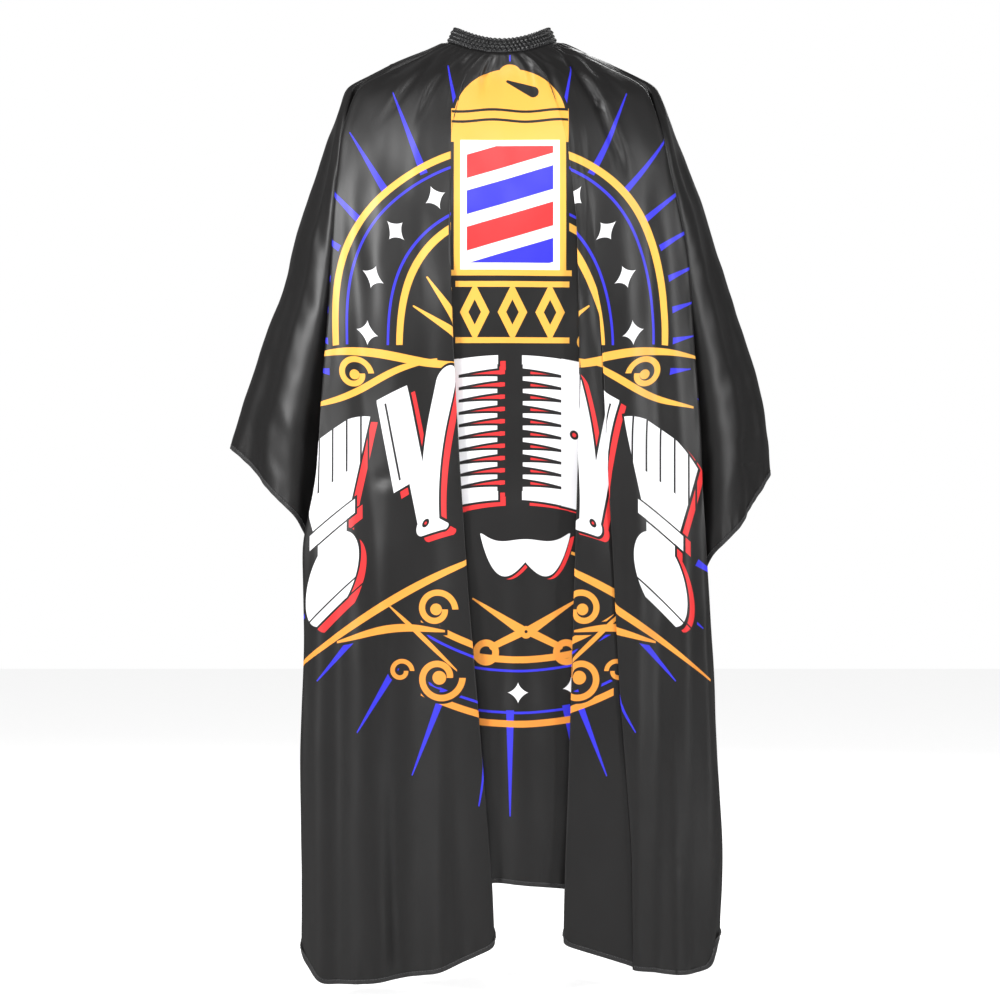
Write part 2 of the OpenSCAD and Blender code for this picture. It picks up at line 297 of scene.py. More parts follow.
def front_guides(side):
    """Guide lines from the middle of the front to the outer fold, on the side -1 or 1.

    Each is (angle at the neck, lowest z, x(z), shift of the print from x, depth behind chest_y).
    A pleat is (edge line, drop where it starts, drop where it is full, width that it hides in each
    layer, angle, lowest z of its inner and outer edge, depth of the inner edge in PLEAT_DEPTHs).
    """
    pleats = (
        [(LEFT_PLEAT, 0.2, 0.45, 0.027, 14, -1.06, -1.138, 0.75)] if side < 0 else
        [(RIGHT_PLEAT, 0.13, 0.36, 0.028, 18, -1.07, -1.135, 1.05),
         (OUTER_PLEAT, 0.3, 0.5, 0.016, 29, -1.168, -1.168, 0.2)]
    )
    guides = [(0, -1.06, nothing, nothing, lambda z: PLEAT_DEPTH * 0.6 + 0 * z)]
    shift = nothing
    for pleat in pleats:
        pair, shift = pleat_guides(side, pleat, shift)
        guides += pair
    fold = LEFT_FOLD if side < 0 else RIGHT_FOLD
    inner = pleats[-1][0]
    shares = [0.3, 0.62, 0.9] if side < 0 else [0.36, 0.68, 0.92]
    ends = [-1.172, -1.184, -1.188] if side < 0 else [-1.1735, -1.176, -1.17]
    for share, z_end, angle in zip(shares, ends, [36, 50, 60]):
        guides.append((angle, z_end,
                       lambda z, share=share: (1 - share) * follow(inner, z) + share * follow(fold, z),
                       shift, nothing))
    corner = -1.15 if side < 0 else -1.125
    guides.append((OUTER_FOLD_AT, corner, lambda z: follow(fold, z), shift, nothing))
    return guides


def side_guides(side):
    """Guide lines from the outer fold round the sleeve to the slit: (angle, lowest z, x(z), y(z))."""
    fold = LEFT_FOLD if side < 0 else RIGHT_FOLD
    sleeve = LEFT_SLEEVE if side < 0 else RIGHT_SLEEVE
    drop = 0 if side < 0 else -0.045

    def inward(share):
        return lambda z: follow(fold, z) - side * share * np.interp(-z, [0.06, 0.12, 0.3], [0, 0.3, 1])

    def between(share, inner):
        return lambda z: (1 - share) * inner(z) + share * follow(sleeve, z)

    def back_x(*places):
        return lambda z: side * np.interp(-z, [0.055, 0.12, 0.35, 0.64], places)

    def depth(*places):
        return lambda z: np.interp(-z, [0.055, 0.12, 0.21, 0.35, 0.64, 1.0], places)
    valley, edge = inward(0.106), inward(0.034)
    return [
        (66, -1.1 + drop * 0.2, inward(0.02), depth(-0.02, -0.038, -0.05, -0.062, -0.07, -0.072)),
        (68, -1.04, inward(0.055), depth(-0.017, -0.032, -0.042, -0.052, -0.058, -0.058)),
        (70, -0.985, inward(0.092), depth(-0.015, -0.028, -0.037, -0.042, -0.044, -0.044)),
        (73, -0.9 + drop, valley, depth(-0.012, -0.02, -0.022, -0.022, -0.022, -0.022)),
        (76, -0.78 + drop, between(0.12, valley), depth(-0.01, -0.013, -0.007, -0.003, -0.003, -0.003)),
        (80, -0.6 + drop, between(0.38, edge), depth(-0.008, -0.038, -0.052, -0.06, -0.058, -0.058)),
        (84, -0.56 + drop * 1.1, between(0.7, edge), depth(-0.005, -0.03, -0.04, -0.048, -0.046, -0.046)),
        (88, -0.525 + drop * 0.9, between(0.95, edge),
         depth(-0.002, -0.01, -0.014, -0.016, -0.015, -0.015)),
        (90, -0.515 + drop * 0.7, between(1.0, edge), depth(0.0, 0.001, 0.003, 0.004, 0.006, 0.006)),
        (93, -0.525 + drop * 0.6, between(0.93, edge), depth(0.003, 0.014, 0.022, 0.026, 0.026, 0.026)),
        (100, -0.565 + drop * 0.5, between(0.62, edge), depth(0.014, 0.04, 0.056, 0.064, 0.066, 0.066)),
        (110, -0.6 + drop * 0.4, between(0.2, edge), depth(0.03, 0.062, 0.076, 0.086, 0.086, 0.086)),
        (126, -0.6, back_x(0.142, 0.158, 0.172, 0.19), depth(0.046, 0.078, 0.096, 0.104, 0.106, 0.106)),
        (140, -0.53, back_x(0.108, 0.12, 0.13, 0.142), depth(0.066, 0.092, 0.106, 0.115, 0.118, 0.118)),
        (152, -0.465, back_x(0.074, 0.082, 0.092, 0.1), depth(0.078, 0.098, 0.11, 0.117, 0.12, 0.12)),
        (165, -0.41, back_x(0.04, 0.046, 0.05, 0.055), depth(0.084, 0.102, 0.114, 0.119, 0.122, 0.122)),
        (176.2, -0.375, back_x(0.006, 0.007, 0.014, 0.018),
         depth(0.087, 0.104, 0.116, 0.121, 0.124, 0.124)),
    ]


ROWS = 200           # steps down each guide line
SPACING = 0.0055     # about the widest step between columns


def neck_point(side, angle):
    r = CASING_R + 0.0012 + flare_at(angle)
    a = np.radians(angle)
    return np.array([side * r * np.sin(a), -r * np.cos(a), band_z(angle) - BAND_H / 2])


def guide_line(side, angle, z_end, x_of, y_of, p_of):
    """Points of one guide line at equal steps of its length: x, y, z, print, turn and fall.

    Print is the flat sideways place on the print, turn the angle round the neck and fall the
    distance from the neck.
    """
    top = np.interp(angle, [0, 60, 90, 130, 180], [-0.05, -0.058, -0.054, -0.055, -0.05])
    z = np.concatenate([np.linspace(top, -0.14, 10)[:-1], np.linspace(-0.14, z_end, 40)])
    line = np.stack([x_of(z), y_of(x_of(z), z), z, p_of(z)], axis=1)
    start = neck_point(side, angle)
    line = np.concatenate([[[*start, start[0]]], line])
    if 66 < angle < 115:  # over the shoulder, a little above the straight line from neck to shoulder
        mid = 0.5 * (line[0] + line[1]) + [0, 0, 0.0035, 0]
        line = np.concatenate([line[:1], [mid], line[1:]])
    length = np.concatenate([[0], np.cumsum(np.linalg.norm(np.diff(line[:, :3], axis=0), axis=1))])
    at = np.linspace(0, length[-1], ROWS + 1)
    places = [np.interp(at, length, line[:, k]) for k in range(4)]
    return np.stack(places + [np.full(ROWS + 1, side * angle), at], axis=1)


def half_drape(side):
    """Guide lines of one half as an array [guide, row, value]."""
    lines = []
    for angle, z_end, x_of, shift, depth in front_guides(side):
        lines.append(guide_line(
            side, angle, z_end, x_of, lambda x, z, depth=depth: chest_y(x, z) + depth(z),
            lambda z, x_of=x_of, shift=shift: x_of(z) + side * shift(z)))
    for angle, z_end, x_of, y_of in side_guides(side):  # unfold() gives these their print
        lines.append(guide_line(side, angle, z_end, x_of, lambda x, z, y_of=y_of: y_of(z), nothing))
    return np.array(lines)


def spread(lines, spacing):
    """Columns of points between guide lines, in number by the widest gap between the two."""
    columns = [lines[:1]]
    for a, b in zip(lines[:-1], lines[1:]):
        gap = np.linalg.norm((b - a)[:, :3], axis=1).max()
        steps = max(2, int(round(gap / spacing)))
        t = (np.arange(1, steps + 1) / steps)[:, None, None]
        columns.append(a + (b - a) * t)
    return np.concatenate(columns)


def unfold(half, side):
    """From the outer fold on, the print's sideways place grows with the cloth's own width."""
    fold = int(np.argmax(np.abs(half[:, 0, 4]) >= OUTER_FOLD_AT))
    width = np.hypot(*np.diff(half[fold:, :, :2], axis=0).transpose(2, 0, 1))
    half[fold + 1:, :, 3] = half[fold, :, 3] + side * np.cumsum(width, axis=0)
    return half


def outward(points):
    """Unit normals of a sheet, away from the wearer."""
    across, down = np.gradient(points, axis=0), np.gradient(points, axis=1)
    return unit(np.cross(down, across))


def gathers(turn, fall):
    """Small pleats that fan out from the band, irregular in spacing, height and reach."""
    out = np.zeros_like(turn)
    at = -124.0
    while at < 124:
        step = rng.uniform(5.0, 8.4)
        at += step
        reach = rng.choice([0.03, 0.05, 0.1], p=[0.45, 0.35, 0.2])
        height = rng.uniform(1.3, 2.9) * 0.001
        centre = at + 30 * (fall - 0.01) * np.sign(at)
        out += height * ridge(turn, centre, 0.36 * step) * (1 - smooth(0.1, 1, fall / reach))
    return out * (1 - 0.75 * smooth(118, 130, np.abs(turn)))


# Long creases of the front: depth and half width, then points (x, z) from the neck outwards
CREASES = [
    (0.0052, 0.0055, [(0.074, -0.006), (0.1225, -0.088), (0.146, -0.15), (0.156, -0.21)]),
    (0.0030, 0.0040, [(-0.067, -0.03), (-0.09, -0.07), (-0.113, -0.13)]),
    (0.0026, 0.0040, [(-0.047, -0.026), (-0.057, -0.062), (-0.066, -0.11)]),
    (0.0026, 0.0045, [(-0.084, -0.02), (-0.118, -0.062), (-0.16, -0.12)]),
    (0.0020, 0.0050, [(-0.09, -0.012), (-0.135, -0.04), (-0.18, -0.072)]),
    (0.0024, 0.0040, [(0.052, -0.024), (0.064, -0.06), (0.074, -0.1)]),
    (0.0022, 0.0050, [(0.088, -0.014), (0.13, -0.05), (0.17, -0.09)]),
    (0.0026, 0.0040, [(-0.012, -0.024), (-0.02, -0.046), (-0.024, -0.085)]),
    (0.0024, 0.0035, [(0.03, -0.026), (0.036, -0.05), (0.04, -0.08)]),
    (0.0012, 0.0040, [(0.185, -1.02), (0.239, -1.052)]),
    (0.0022, 0.0080, [(0.306, -0.5), (0.311, -0.54), (0.311, -0.572)]),
    (0.0018, 0.0080, [(-0.16, -0.56), (-0.07, -0.535)]),
]


def creases(x, z):
    """Valleys along the long creases, each with a low ridge on its outer side."""
    out = np.zeros_like(x)
    for depth, width, points in CREASES:
        for k, (a, b) in enumerate(zip(points[:-1], points[1:])):
            ax, az = b[0] - a[0], b[1] - a[1]
            run = math.hypot(ax, az)
            along = ((x - a[0]) * ax + (z - a[1]) * az) / run
            off = ((x - a[0]) * az - (z - a[1]) * ax) / run * np.sign(a[0])
            share = (k + np.clip(along / run, 0, 1)) / (len(points) - 1)
            within = (along > -0.5 * width) & (along <= run)
            fade = smooth(0, 0.12, share) * (1 - smooth(0.45, 1, share)) + 0.25 * (share < 0.12)
            shape = -ridge(off, 0, width) + 0.45 * ridge(off, -1.9 * width, 1.4 * width)
            out += np.where(within, depth * shape * fade, 0)
    return out


# Broad folds of the lower front, as height (below 0 in a valley), x and half width
LAP_FOLDS = [
    (0.013, -0.176, 0.032), (-0.012, -0.112, 0.026), (0.006, -0.228, 0.014), (-0.006, 0.196, 0.014),
    (0.009, 0.222, 0.022), (-0.007, 0.26, 0.014), (0.007, 0.028, 0.026), (-0.004, 0.0, 0.012),
    (0.0035, -0.147, 0.011), (-0.0035, -0.203, 0.011), (0.003, -0.075, 0.012), (0.003, 0.168, 0.01),
    (-0.003, 0.243, 0.009),
]
# The same above the lap; these lean towards +X as they run down
LEANING_FOLDS = [
    (0.003, -0.16, 0.022), (-0.004, -0.2, 0.014), (0.0035, 0.135, 0.018), (-0.0035, 0.168, 0.012),
    (0.0035, 0.195, 0.014), (-0.0025, -0.12, 0.014),
]


def ridges(x, folds):
    return sum(height * ridge(x, at, width) for height, at, width in folds)


def body_folds(x, z, turn, fall):
    """Broad soft folds: ridges and valleys that run down the front, the sleeves and the back."""
    low, high = smooth(0.5, 0.85, -z), smooth(0.12, 0.3, -z)
    front = 1 - smooth(60, 66, np.abs(turn))
    out = front * low * ridges(x, LAP_FOLDS)
    out += front * high * ridges(x + 0.06 * z, LEANING_FOLDS)
    sleeve = smooth(62, 70, np.abs(turn)) * (1 - smooth(104, 118, np.abs(turn))) * smooth(0.12, 0.3, fall)
    out += sleeve * (0.0042 * np.cos((np.abs(turn) - 81) * math.pi / 5.2) * (1 + 0.3 * np.sin(9 * z)))
    behind = smooth(104, 124, np.abs(turn)) * smooth(0.06, 0.3, fall)
    wave, ripple = np.sin(turn * math.pi / 9.5 + 2.2 * z), np.sin(turn * math.pi / 4.3)
    out += behind * (0.0055 * wave + 0.0025 * ripple)
    return out


def hem_puckers(sheet):
    """Small ripples where the tape draws the edge in."""
    edge = sheet[:, -1, :3]
    run = np.concatenate([[0], np.cumsum(np.linalg.norm(np.diff(edge, axis=0), axis=1))])
    above = sheet[:, -1:, 5] - sheet[..., 5]
    strong = 0.35 + 0.65 * smooth(-0.2, 0.6, soft_noise((len(run), 1), (9, 0.4)))
    wave = np.sin(run / 0.0034 + 2.5 * np.sin(run / 0.021))[:, None]
    return 0.0011 * strong * wave * ridge(above, 0.006, 0.016)


def drape():
    """The hanging cloth as an array [column, row, value], left slit to right slit, neck to hem."""
    left = unfold(spread(half_drape(-1), SPACING), -1)
    right = unfold(spread(half_drape(1), SPACING), 1)
    sheet = np.concatenate([left[:0:-1], right])
    sheet = blur(blur(sheet, 1.3, 0), 2.4, 1)
    x, z, turn, fall = sheet[..., 0], sheet[..., 2], sheet[..., 4], sheet[..., 5]
    hills = 0.0014 * soft_noise(x.shape, (7, 9)) + 0.00035 * soft_noise(x.shape, (2.2, 3))
    lift = body_folds(x, z, turn, fall) + hills * smooth(0.02, 0.2, fall)
    lift += np.where(np.abs(turn) < 95, creases(x, z), 0) + gathers(turn, fall) + hem_puckers(sheet)
    lift *= smooth(0, 0.008, fall)
    # On the front, every layer of a pleat moves the same way, so that the layers don't cross
    level = ((1 - smooth(58, 66, np.abs(turn))) * smooth(0.05, 0.12, fall))[..., None]
    way = level * np.array([0, -1.0, 0]) + (1 - level) * outward(sheet[..., :3])
    sheet[..., :3] += lift[..., None] * way
    return sheet


# ---------- material helpers ----------

class Ink:
    """A number worked out by Math nodes, so that an outline can be written as a formula."""

    def __init__(self, tree, socket):
        self.tree, self.socket = tree, socket

    def made(self, operation, *others, clamp=False):
        node = self.tree.nodes.new("ShaderNodeMath")
        node.operation, node.use_clamp = operation, clamp
        for slot, value in zip(node.inputs, (self, *others)):
            if isinstance(value, Ink):
                self.tree.links.new(value.socket, slot)
            else:
                slot.default_value = value
        return Ink(self.tree, node.outputs[0])

    def __add__(self, other):
        return self.made("ADD", other)

    def __sub__(self, other):
        return self.made("SUBTRACT", other)

    def __rsub__(self, other):
        return self.made("MULTIPLY", -1.0).made("ADD", other)

    def __mul__(self, other):
        return self.made("MULTIPLY", other)

    def __truediv__(self, other):
        return self.made("DIVIDE", other)

    def __neg__(self):
        return self.made("MULTIPLY", -1.0)

    def __pow__(self, other):
        return self.made("POWER", other)

    def __abs__(self):
        return self.made("ABSOLUTE")

    def least(self, other):
        return self.made("MINIMUM", other)

    def most(self, other):
        return self.made("MAXIMUM", other)

    def clamped(self):
        return self.made("ADD", 0.0, clamp=True)


def length(a, b):
    return (a * a + b * b).made("SQRT")


def cover(distance, edge=0.03):
    """1 inside an outline and 0 outside, from the signed distance in centimetres."""
    return (distance * (-0.5 / edge)).made("ADD", 0.5, clamp=True)


def box_shape(u, v, centre, half):
    return (abs(u - centre[0]) - half[0]).most(abs(v - centre[1]) - half[1])


def ring_shape(u, v, centre, radius, width):
    return abs(length(u - centre[0], v - centre[1]) - radius) - width


def bar_shape(u, v, start, end, r_start, r_end):
    """A round-ended bar that tapers from one end to the other."""
    across = end[0] - start[0], end[1] - start[1]
    square = across[0] ** 2 + across[1] ** 2
    du, dv = u - start[0], v - start[1]
    along = ((du * across[0] + dv * across[1]) * (1 / square)).clamped()
    return length(du - along * across[0], dv - along * across[1]) - (along * (r_end - r_start) + r_start)


def curl_shape(u, v, centre, radius, width, turn):
    """A scroll: its radius grows once round the centre."""
    du, dv = u - centre[0], v - centre[1]
    angle = (dv * turn).made("ARCTAN2", du) * (0.5 / math.pi) + 0.5
    return abs(length(du, dv) - (angle * 0.55 + 0.45) * radius) - width


def joined(*shapes):
    out = shapes[0]
    for shape in shapes[1:]:
        out = out.least(shape)
    return out


class Paint:
    """Layers of flat colour, each laid over the last inside its outline."""

    def __init__(self, tree, base):
        self.tree, self.top = tree, base

    def lay(self, shape, colour):
        mix = self.tree.nodes.new("ShaderNodeMix")
        mix.data_type = "RGBA"
        self.tree.links.new(cover(shape).socket, mix.inputs["Factor"])
        for slot, value in ((mix.inputs[6], self.top), (mix.inputs[7], colour)):
            if isinstance(value, tuple):
                slot.default_value = value
            else:
                self.tree.links.new(value, slot)
        self.top = mix.outputs[2]


def new_material(name):
    material = bpy.data.materials.new(name)
    material.use_nodes = True
    return material, material.node_tree, material.node_tree.nodes["Principled BSDF"]


def linear(red, green, blue):
    """Shader colour from the 0 to 255 values that it should look like."""
    return tuple(((c / 255 + 0.055) / 1.055) ** 2.4 if c > 10 else c / 255 / 12.92
                 for c in (red, green, blue)) + (1.0,)


BLACK = linear(21, 20, 20)
WHITE = linear(244, 243, 246)
RED = linear(226, 48, 50)
BLUE = linear(50, 48, 214)

# ---------- the print: a barber pole, arched bands, barber's tools and scissors, in centimetres ----------

MIDDLE = 1.0     # the design's own axis
HUB_V = -46.0    # height of the middle of the rings and rays


def repeat(value, pitch):
    """Distance from the nearest whole multiple of pitch, with its sign."""
    turn = value * (1 / pitch)
    return (turn - (turn + 0.5).made("FLOOR")) * pitch


def rays(u, v):
    """Tapered rays all round the rings, short at the sides and long above and below."""
    du, dv = (u - MIDDLE) * 0.86, v - HUB_V
    step = math.radians(9.0)
    reach = length(du, dv)
    off = repeat(du.made("ARCTAN2", dv), step)
    upright = dv / reach
    square = upright * upright
    below = (dv * -0.2 + 0.5).clamped()
    near = square * 6.5 + below * 8.0 + 24.0
    span = square * square * 11.0 + 2.2
    along = ((reach - near) / span).clamped()
    inside = (near - reach).most(reach - near - span)
    return inside.most(abs(off) * reach - (along * -0.36 + 0.42))


def arch(u, v, a, b, width):
    """A line along the upper half of an ellipse round the hub."""
    k = length((u - MIDDLE) * (1 / a), (v - HUB_V) * (1 / b))
    return (abs(k - 1) * (0.5 * (a + b)) - width).most(-v - 39.0)


def arches(u, v):
    gold = joined(arch(u, v, 27.0, 32.0, 0.42), arch(u, v, 19.2, 23.6, 0.42))
    blue = joined(arch(u, v, 25.6, 30.5, 0.15), arch(u, v, 20.6, 25.0, 0.15))
    return gold, blue


def arch_stars(u, v):
    """Small four-pointed stars along the band between the arches."""
    du, dv = (u - MIDDLE) * (1 / 23.1), (v - HUB_V) * (1 / 27.8)
    turn = du.made("ARCTAN2", dv)
    off = repeat(turn - math.radians(8), math.radians(16)) * 24.5
    rise = (length(du, dv) - 1) * 25.4
    star = abs(off) ** 0.7 + abs(rise) ** 0.7 - 1.3
    return star.most(-v - 39.0).most(abs(turn) * -8 + 2.2)


def banner(u, v):
    """Long arcs that close the emblem below, with small stars between them."""
    du, dv = u - MIDDLE - 1.0, v - HUB_V
    reach = length(du, dv)
    side, below = abs(du) - 17.5, v + 66.0

    def ring(radius, width):
        return (abs(reach - radius) - width).most(side).most(below)
    turn = du.made("ARCTAN2", -dv)
    star = abs(repeat(turn, 0.19) * 36.0) ** 0.7 + abs(reach - 36.3) ** 0.7 - 1.2
    gold = joined(ring(32.2, 0.42), ring(40.2, 0.42))
    blue = joined(ring(33.6, 0.15), ring(38.8, 0.15))
    return gold, blue, star.most(abs(turn) - 0.3).most(below)


def scroll_line(s, v, height, start, stop, thick):
    """A stroke along a curve v = height(s) that thins out towards both ends."""
    middle, half = 0.5 * (start + stop), 0.5 * (stop - start)
    thin = ((s - middle) * (1 / half)) ** 2.0 * -0.75 * thick + thick
    return (abs(v - height) * 0.88 - thin).most(abs(s - middle) - half)


def scrolls(u, v):
    """Gold scrollwork, mirrored about the design's axis."""
    s = abs(u - MIDDLE)
    upper = [
        scroll_line(s, v, ((s - 25.0) * 0.24).made("COSINE") * 0.9 - 40.6, 8.0, 31.0, 0.5),
        scroll_line(s, v, (s - 15.0) * -0.36 + (s * 0.42).made("SINE") * 0.4 - 41.0, 14.0, 31.5, 0.42),
        curl_shape(s, v, (24.6, -42.5), 2.1, 0.36, 1.0),
        bar_shape(s, v, (9.3, -38.6), (12.4, -30.6), 0.95, 0.12),
        bar_shape(s, v, (9.4, -38.8), (15.2, -34.2), 0.8, 0.12),
        bar_shape(s, v, (9.4, -38.8), (9.6, -32.0), 0.6, 0.12),
        length(s - 24.6, v + 42.6) - 0.62,
    ]
    lower = [
        scroll_line(s, v, s * s * -0.0098 + s * -0.2 - 62.8, 7.0, 34.0, 0.5),
        scroll_line(s, v, ((s - 20.0) * 0.3).made("COSINE") * 0.7 + (s - 20.0) * -0.1 - 75.0,
                    13.5, 27.0, 0.44),
        curl_shape(s, v, (14.6, -71.9), 2.4, 0.38, 1.0),
        curl_shape(s, v, (14.2, -80.4), 2.9, 0.4, -1.0),
        scroll_line(s, v, (s - 14.0) * 0.95 - 77.6, 12.0, 20.5, 0.36),
        curl_shape(s, v, (19.0, -79.6), 1.4, 0.28, 1.0),
        length(s - 14.6, v + 71.9) - 0.72,
        length(s - 14.2, v + 80.4) - 0.85,
    ]
    return joined(*upper, *lower)


def scissors(u, v):
    s, t = abs(u - 3.0), v + 74.7
    blade = bar_shape(s, t, (0.0, -0.2), (6.6, 4.1), 0.66, 0.1)
    shank = bar_shape(s, t, (0.0, 0.2), (4.2, -1.9), 0.5, 0.4)
    return joined(blade, shank, ring_shape(s, t, (5.0, -2.6), 1.2, 0.42)).most(0.2 - length(s, t))


def comb_shape(x, y):
    """A tall comb with a rounded back and pointed teeth."""
    back = box_shape(x, y, (-2.6, 0.0), (1.3, 8.6)) - 0.3
    tooth = abs(repeat(y, 1.5)) - (x * -0.07 + 0.5)
    teeth = tooth.most(box_shape(x, y, (1.2, 0.0), (2.6, 8.3)))
    guard = abs(abs(y) - 8.3) - 0.55
    return joined(back, teeth, guard.most(abs(x - 0.6) - 3.3)).most(0.55 - length(x + 2.6, y))


def razor_shape(x, y):
    """An open straight razor: bowed handle, pivot, tail, shank and a broad blade with a groove."""
    handle = bar_shape(x + y * y * 0.014 - 0.5, y, (-0.9, -7.4), (-2.9, 8.0), 1.0, 1.4)
    lean = x - y * 0.2 - 1.0
    blade = box_shape(lean, y, (0.9, 3.5), (1.75, 5.3)) - 0.2
    groove = (abs(lean - 1.9) - 0.13).most(abs(y - 3.6) - 4.6)
    shank = (abs(lean - 0.1) - 0.8).most(abs(y + 4.6) - 3.2)
    tail = bar_shape(x, y, (-0.5, -7.6), (-3.0, -8.9), 1.15, 0.35)
    pivot = 0.45 - length(x + 0.5, y + 7.4)
    return joined(handle, blade.most(-groove), shank, tail).most(pivot)


def brush_shape(x, y):
    """A shaving brush: a fan of bristle over a turned handle."""
    fan = (abs(x) - (y * 0.3 + 2.2)).most(abs(y - 4.6) - 4.2).most(length(x, y - 0.6) - 8.4)
    gaps = (abs(repeat(x, 1.7)) - 0.12).most(3.6 - y)
    collar = box_shape(x, y, (0.0, -0.5), (2.5, 0.5)) - 0.2
    neck = box_shape(x, y, (0.0, -1.6), (1.5, 1.0)) - 0.2
    bulb = (length(x, (y + 5.8) * 0.8) - 3.2).most(-y - 9.1)
    rims = joined(abs(y + 1.35) - 0.11, abs(y + 7.9) - 0.11).most(abs(x) - 4.0)
    return joined(fan.most(-gaps), collar, neck, bulb).most(-rims)


def tools(u, v):
    """Six great tools in an arch, mirrored, that fill cells as wide as bold display letters."""
    s = abs(u - MIDDLE)
    square = (u - MIDDLE) * (u - MIDDLE)
    top = square * -0.0119 - 39.9
    bottom = square * -0.0180 - 58.6
    y = ((v - bottom) / (top - bottom) - 0.5) * 18.4
    return joined(
        comb_shape(5.4 - s, y).most(s - 10.6),
        razor_shape(s - 16.4, y).most(abs(s - 16.4) - 5.6),
        brush_shape((s - 27.6) * 0.95, y).most(22.2 - s),
    )


def moustache(u, v):
    """A small handlebar moustache."""
    a = abs(u - 2.9) * (1 / 5.6)
    middle = (a * 2.7).made("SINE") * -1.2 + a ** 4.0 * 2.6 - 64.6
    thick = ((1.0 - a).most(0.0) ** 0.75) * (a * 3.8 + 1.2)
    return (abs(v - middle) * 0.85 - thick).most(a * 5.6 - 5.6)


def plaque(u, v):
    """Three tall lozenges with bars, under the pole."""
    x, y = u - MIDDLE - 0.3, v + 34.9
    gem = abs(repeat(x, 4.7)) * 1.9 + abs(y) * 0.95 - 3.5
    hole = 1.5 - (abs(repeat(x, 4.7)) * 1.9 + abs(y) * 0.95)
    bars = (abs(abs(y) - 3.5) - 0.36).most(abs(x) - 7.1)
    return joined(gem.most(hole).most(abs(x) - 7.0), bars)


def pole(u, v, paint, gold):
    """Gold cap and frame round a white field with slanted red and blue stripes."""
    du = u - MIDDLE
    dome = length(du * (1 / 7.0), (v + 10.4) * (1 / 6.3)) * 6.6 - 6.6
    knob = length(du * 0.9, v + 4.8) - 1.3
    collar = box_shape(u, v, (MIDDLE, -11.4), (7.1, 1.9)) - 0.25
    frame = box_shape(u, v, (MIDDLE, -21.6), (7.0, 8.6))
    sill = box_shape(u, v, (MIDDLE, -30.0), (7.7, 0.35))
    solid = joined(dome.most(-v - 11.0), knob, collar, frame, sill)
    paint.lay(solid - 0.4, BLACK)
    paint.lay(solid, gold)
    wave = (du * 0.75).made("SINE") * 0.16
    lines = joined(abs(v + 9.5 + wave) - 0.17, abs(v + 10.8 + wave) - 0.17).most(abs(du) - 7.3)
    slot = bar_shape(u, v, (0.7, -5.7), (3.9, -7.1), 0.18, 0.72)
    paint.lay(joined(lines, slot), BLACK)
    paint.lay(box_shape(u, v, (MIDDLE, -21.45), (6.2, 8.15)), WHITE)
    slant = v - du * 0.3 + 19.6
    inside = box_shape(u, v, (MIDDLE, -21.4), (5.4, 7.35))
    paint.lay((abs(repeat(slant, 9.12)) - 1.5).most(inside), BLUE)
    paint.lay((abs(repeat(slant + 4.56, 9.12)) - 1.5).most(inside), RED)


def print_colour(tree):
    """The whole print as one colour, from the cloth's flat coordinates."""
    place = tree.nodes.new("ShaderNodeUVMap")
    place.uv_map = "print"
    split = tree.nodes.new("ShaderNodeSeparateXYZ")
    tree.links.new(place.outputs["UV"], split.inputs["Vector"])
    u = Ink(tree, split.outputs["X"]) * 100.0
    v = Ink(tree, split.outputs["Y"]) * 100.0
    fade = tree.nodes.new("ShaderNodeValToRGB")
    stops = fade.color_ramp.elements
    stops[0].color, stops[1].color = linear(236, 160, 62), linear(228, 138, 54)
    stops.new(0.22).color = linear(240, 180, 76)
    stops.new(0.6).color = linear(238, 168, 70)
    tree.links.new((v * (1 / -90)).clamped().socket, fade.inputs["Fac"])
    gold = fade.outputs["Color"]
    paint = Paint(tree, BLACK)
    paint.lay(rays(u, v), BLUE)
    gold_arch, blue_arch = arches(u, v)
    paint.lay(blue_arch, BLUE)
    paint.lay(gold_arch, gold)
    paint.lay(arch_stars(u, v), WHITE)
    gold_banner, blue_banner, stars = banner(u, v)
    paint.lay(blue_banner, BLUE)
    paint.lay(gold_banner, gold)
    paint.lay(stars, WHITE)
    curls = scrolls(u, v)
    paint.lay(curls - 0.35, BLACK)
    paint.lay(curls, gold)
    for shape, offset in ((tools, 0.95), (moustache, 0.5)):
        near, cast = shape(u, v), shape(u - offset, v + 0.75 * offset)
        paint.lay(cast - 0.4, BLACK)
        paint.lay(cast, RED)
        paint.lay(near - 0.3, BLACK)
        paint.lay(near, WHITE)
    paint.lay(scissors(u, v), gold)
    paint.lay(plaque(u, v), gold)
    pole(u, v, paint, gold)
    return paint.top


def cloud(tree, scale, detail=2.0, z_scale=1.0):
    """Soft noise from 0 to 1 in the piece's own space, drawn out along z if z_scale is below 1."""
    place = tree.nodes.new("ShaderNodeTexCoord").outputs["Object"]
    if z_scale < 1:
        stretch = tree.nodes.new("ShaderNodeMapping")
        stretch.inputs["Scale"].default_value = (1.0, 1.0, z_scale)
        tree.links.new(place, stretch.inputs["Vector"])
        place = stretch.outputs["Vector"]
    noise = tree.nodes.new("ShaderNodeTexNoise")
    noise.inputs["Scale"].default_value = scale
    noise.inputs["Detail"].default_value = detail
    tree.links.new(place, noise.inputs["Vector"])
    return Ink(tree, noise.outputs["Fac"])


def weave_bump(tree, shader, scale, strength):
    """Fine grain and upright threads, as a bump."""
    height = cloud(tree, scale, 3.0) * 0.5 + cloud(tree, scale * 1.6, z_scale=0.12) * 0.5
    bump = tree.nodes.new("ShaderNodeBump")
    bump.inputs["Strength"].default_value = strength
    bump.inputs["Distance"].default_value = 0.0004
    tree.links.new(height.socket, bump.inputs["Height"])
    tree.links.new(bump.outputs["Normal"], shader.inputs["Normal"])


